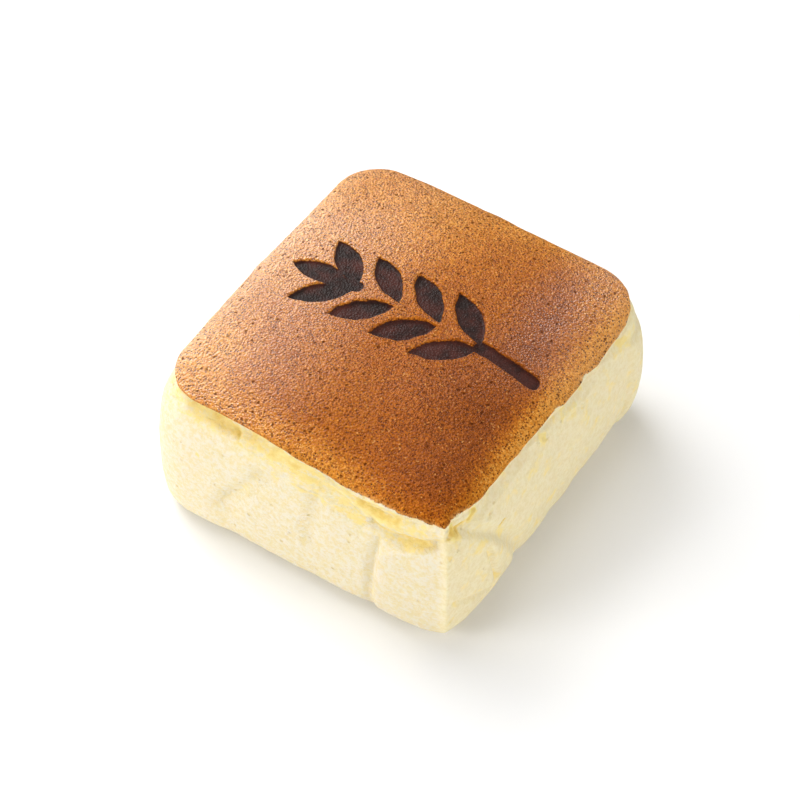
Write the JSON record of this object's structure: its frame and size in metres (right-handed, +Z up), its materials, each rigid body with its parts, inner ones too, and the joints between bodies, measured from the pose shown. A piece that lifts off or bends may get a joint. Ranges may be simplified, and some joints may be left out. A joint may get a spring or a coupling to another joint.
{
  "type": "souffle cake",
  "caption": "Square souffle cake with a domed brown crust, pale soft walls creased by its paper case, and an ear of wheat burnt into the top.",
  "frame": {"origin": "middle of the flat underside", "axes": "+Z up through the crust, +Y along the longer side, towards the back wall; the ear of wheat lies along X with its tip towards -X"},
  "size_m": [0.1212, 0.1322, 0.0632],
  "materials": {
    "sponge": "matte porous crumb under a browned crust"
  },
  "bodies": {
    "root": {"souffle_cake": "sponge"}
  },
  "joints": []
}
